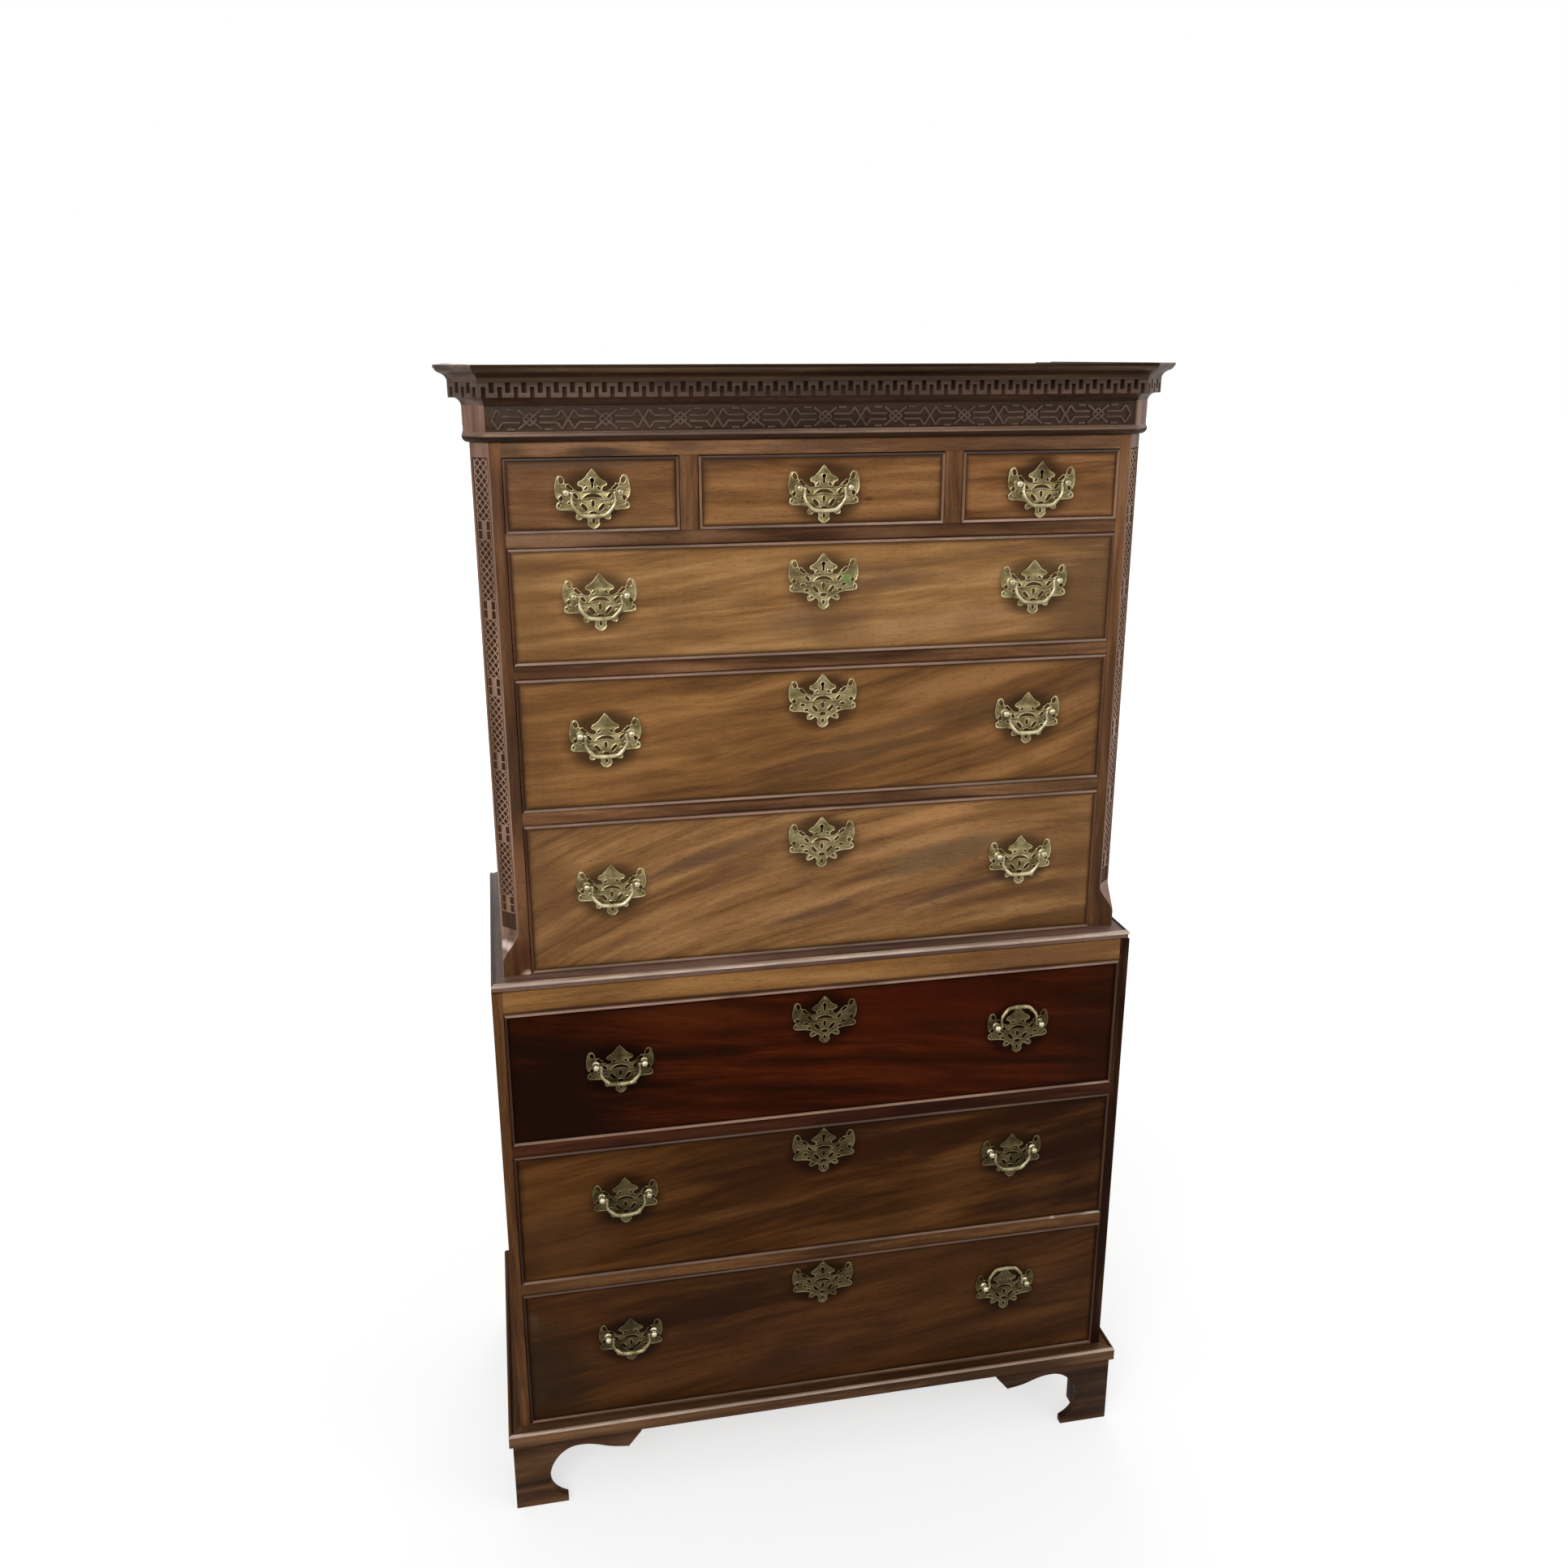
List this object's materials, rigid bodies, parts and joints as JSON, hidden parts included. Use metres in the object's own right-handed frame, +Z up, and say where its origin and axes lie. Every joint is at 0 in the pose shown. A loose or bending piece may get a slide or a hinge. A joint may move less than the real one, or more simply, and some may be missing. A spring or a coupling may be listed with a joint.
{
  "type": "chest on chest",
  "caption": "Tall chest on chest with a dentil cornice, blind fret frieze and canted corners, cockbeaded drawers with pierced brass bail handles, and shaped bracket feet.",
  "frame": {"origin": "on the floor, midway between the sides and midway between the nose of the base moulding and the back boards", "axes": "+Z up, front towards -Y, +X to the right as seen from the front"},
  "size_m": [1.084, 0.521, 1.8706],
  "materials": {
    "carcass_wood": "old polish",
    "drawer_wood": "old polish",
    "moulding_wood": "old polish",
    "fret_wood": "waxed",
    "back_wood": "dry and unpolished",
    "brass": "tarnished"
  },
  "bodies": {
    "chest": {"lower_carcass": "carcass_wood", "lower_back": "back_wood", "base_moulding": "moulding_wood", "waist_moulding": "moulding_wood", "foot_front_left": "moulding_wood", "foot_front_right": "moulding_wood", "foot_rear_left": "moulding_wood", "foot_rear_right": "moulding_wood", "upper_carcass": "carcass_wood", "upper_back": "back_wood", "frieze": "moulding_wood", "frieze_fret": "fret_wood", "corner_fret_left": "fret_wood", "corner_fret_right": "fret_wood", "cornice": "moulding_wood"},
    "drawer_lower_bottom": {"drawer_lower_bottom": "drawer_wood", "escutcheon_lower_bottom": "brass", "plate_lower_bottom_left": "brass", "plate_lower_bottom_right": "brass"},
    "bail_lower_bottom_left": {"bail_lower_bottom_left": "brass"},
    "bail_lower_bottom_right": {"bail_lower_bottom_right": "brass"},
    "drawer_lower_middle": {"drawer_lower_middle": "drawer_wood", "escutcheon_lower_middle": "brass", "plate_lower_middle_left": "brass", "plate_lower_middle_right": "brass"},
    "bail_lower_middle_left": {"bail_lower_middle_left": "brass"},
    "bail_lower_middle_right": {"bail_lower_middle_right": "brass"},
    "drawer_lower_top": {"drawer_lower_top": "drawer_wood", "escutcheon_lower_top": "brass", "plate_lower_top_left": "brass", "plate_lower_top_right": "brass"},
    "bail_lower_top_left": {"bail_lower_top_left": "brass"},
    "bail_lower_top_right": {"bail_lower_top_right": "brass"},
    "drawer_upper_bottom": {"drawer_upper_bottom": "drawer_wood", "escutcheon_upper_bottom": "brass", "plate_upper_bottom_left": "brass", "plate_upper_bottom_right": "brass"},
    "bail_upper_bottom_left": {"bail_upper_bottom_left": "brass"},
    "bail_upper_bottom_right": {"bail_upper_bottom_right": "brass"},
    "drawer_upper_middle": {"drawer_upper_middle": "drawer_wood", "escutcheon_upper_middle": "brass", "plate_upper_middle_left": "brass", "plate_upper_middle_right": "brass"},
    "bail_upper_middle_left": {"bail_upper_middle_left": "brass"},
    "bail_upper_middle_right": {"bail_upper_middle_right": "brass"},
    "drawer_upper_top": {"drawer_upper_top": "drawer_wood", "escutcheon_upper_top": "brass", "plate_upper_top_left": "brass", "plate_upper_top_right": "brass"},
    "bail_upper_top_left": {"bail_upper_top_left": "brass"},
    "bail_upper_top_right": {"bail_upper_top_right": "brass"},
    "drawer_short_left": {"drawer_short_left": "drawer_wood", "plate_short_left": "brass"},
    "bail_short_left": {"bail_short_left": "brass"},
    "drawer_short_middle": {"drawer_short_middle": "drawer_wood", "plate_short_middle": "brass"},
    "bail_short_middle": {"bail_short_middle": "brass"},
    "drawer_short_right": {"drawer_short_right": "drawer_wood", "plate_short_right": "brass"},
    "bail_short_right": {"bail_short_right": "brass"}
  },
  "joints": [
    {"name": "slide_lower_bottom", "type": "slide", "parent": "chest", "child": "drawer_lower_bottom", "axis": [0, -1, 0], "range_m": [0, 0.37]},
    {"name": "swing_lower_bottom_left", "type": "hinge", "parent": "drawer_lower_bottom", "child": "bail_lower_bottom_left", "pos_m": [-0.33, -0.249, 0.3122], "axis": [-1, 0, 0], "range_deg": [-7.8, 187.8]},
    {"name": "swing_lower_bottom_right", "type": "hinge", "parent": "drawer_lower_bottom", "child": "bail_lower_bottom_right", "pos_m": [0.33, -0.249, 0.3122], "axis": [1, 0, 0], "range_deg": [0, 195.7]},
    {"name": "slide_lower_middle", "type": "slide", "parent": "chest", "child": "drawer_lower_middle", "axis": [0, -1, 0], "range_m": [0, 0.37]},
    {"name": "swing_lower_middle_left", "type": "hinge", "parent": "drawer_lower_middle", "child": "bail_lower_middle_left", "pos_m": [-0.33, -0.249, 0.5802], "axis": [-1, 0, 0], "range_deg": [-7.8, 187.8]},
    {"name": "swing_lower_middle_right", "type": "hinge", "parent": "drawer_lower_middle", "child": "bail_lower_middle_right", "pos_m": [0.33, -0.249, 0.5802], "axis": [-1, 0, 0], "range_deg": [-7.8, 187.8]},
    {"name": "slide_lower_top", "type": "slide", "parent": "chest", "child": "drawer_lower_top", "axis": [0, -1, 0], "range_m": [0, 0.37]},
    {"name": "swing_lower_top_left", "type": "hinge", "parent": "drawer_lower_top", "child": "bail_lower_top_left", "pos_m": [-0.33, -0.249, 0.8183], "axis": [-1, 0, 0], "range_deg": [-7.8, 187.8]},
    {"name": "swing_lower_top_right", "type": "hinge", "parent": "drawer_lower_top", "child": "bail_lower_top_right", "pos_m": [0.33, -0.249, 0.8183], "axis": [1, 0, 0], "range_deg": [0, 195.7]},
    {"name": "slide_upper_bottom", "type": "slide", "parent": "chest", "child": "drawer_upper_bottom", "axis": [0, -1, 0], "range_m": [0, 0.34]},
    {"name": "swing_upper_bottom_left", "type": "hinge", "parent": "drawer_upper_bottom", "child": "bail_upper_bottom_left", "pos_m": [-0.33, -0.2203, 1.1087], "axis": [-1, 0, 0], "range_deg": [-7.8, 187.8]},
    {"name": "swing_upper_bottom_right", "type": "hinge", "parent": "drawer_upper_bottom", "child": "bail_upper_bottom_right", "pos_m": [0.33, -0.2203, 1.1087], "axis": [-1, 0, 0], "range_deg": [-7.8, 187.8]},
    {"name": "slide_upper_middle", "type": "slide", "parent": "chest", "child": "drawer_upper_middle", "axis": [0, -1, 0], "range_m": [0, 0.34]},
    {"name": "swing_upper_middle_left", "type": "hinge", "parent": "drawer_upper_middle", "child": "bail_upper_middle_left", "pos_m": [-0.33, -0.2203, 1.3463], "axis": [-1, 0, 0], "range_deg": [-7.8, 187.8]},
    {"name": "swing_upper_middle_right", "type": "hinge", "parent": "drawer_upper_middle", "child": "bail_upper_middle_right", "pos_m": [0.33, -0.2203, 1.3463], "axis": [-1, 0, 0], "range_deg": [-7.8, 187.8]},
    {"name": "slide_upper_top", "type": "slide", "parent": "chest", "child": "drawer_upper_top", "axis": [0, -1, 0], "range_m": [0, 0.34]},
    {"name": "swing_upper_top_left", "type": "hinge", "parent": "drawer_upper_top", "child": "bail_upper_top_left", "pos_m": [-0.33, -0.2203, 1.5526], "axis": [-1, 0, 0], "range_deg": [-7.8, 187.8]},
    {"name": "swing_upper_top_right", "type": "hinge", "parent": "drawer_upper_top", "child": "bail_upper_top_right", "pos_m": [0.33, -0.2203, 1.5526], "axis": [-1, 0, 0], "range_deg": [-7.8, 187.8]},
    {"name": "slide_short_left", "type": "slide", "parent": "chest", "child": "drawer_short_left", "axis": [0, -1, 0], "range_m": [0, 0.34]},
    {"name": "swing_short_left", "type": "hinge", "parent": "drawer_short_left", "child": "bail_short_left", "pos_m": [-0.3344, -0.2203, 1.6989], "axis": [-1, 0, 0], "range_deg": [-7.8, 187.8]},
    {"name": "slide_short_middle", "type": "slide", "parent": "chest", "child": "drawer_short_middle", "axis": [0, -1, 0], "range_m": [0, 0.34]},
    {"name": "swing_short_middle", "type": "hinge", "parent": "drawer_short_middle", "child": "bail_short_middle", "pos_m": [0, -0.2203, 1.6989], "axis": [-1, 0, 0], "range_deg": [-7.8, 187.8]},
    {"name": "slide_short_right", "type": "slide", "parent": "chest", "child": "drawer_short_right", "axis": [0, -1, 0], "range_m": [0, 0.34]},
    {"name": "swing_short_right", "type": "hinge", "parent": "drawer_short_right", "child": "bail_short_right", "pos_m": [0.3344, -0.2203, 1.6989], "axis": [-1, 0, 0], "range_deg": [-7.8, 187.8]}
  ]
}
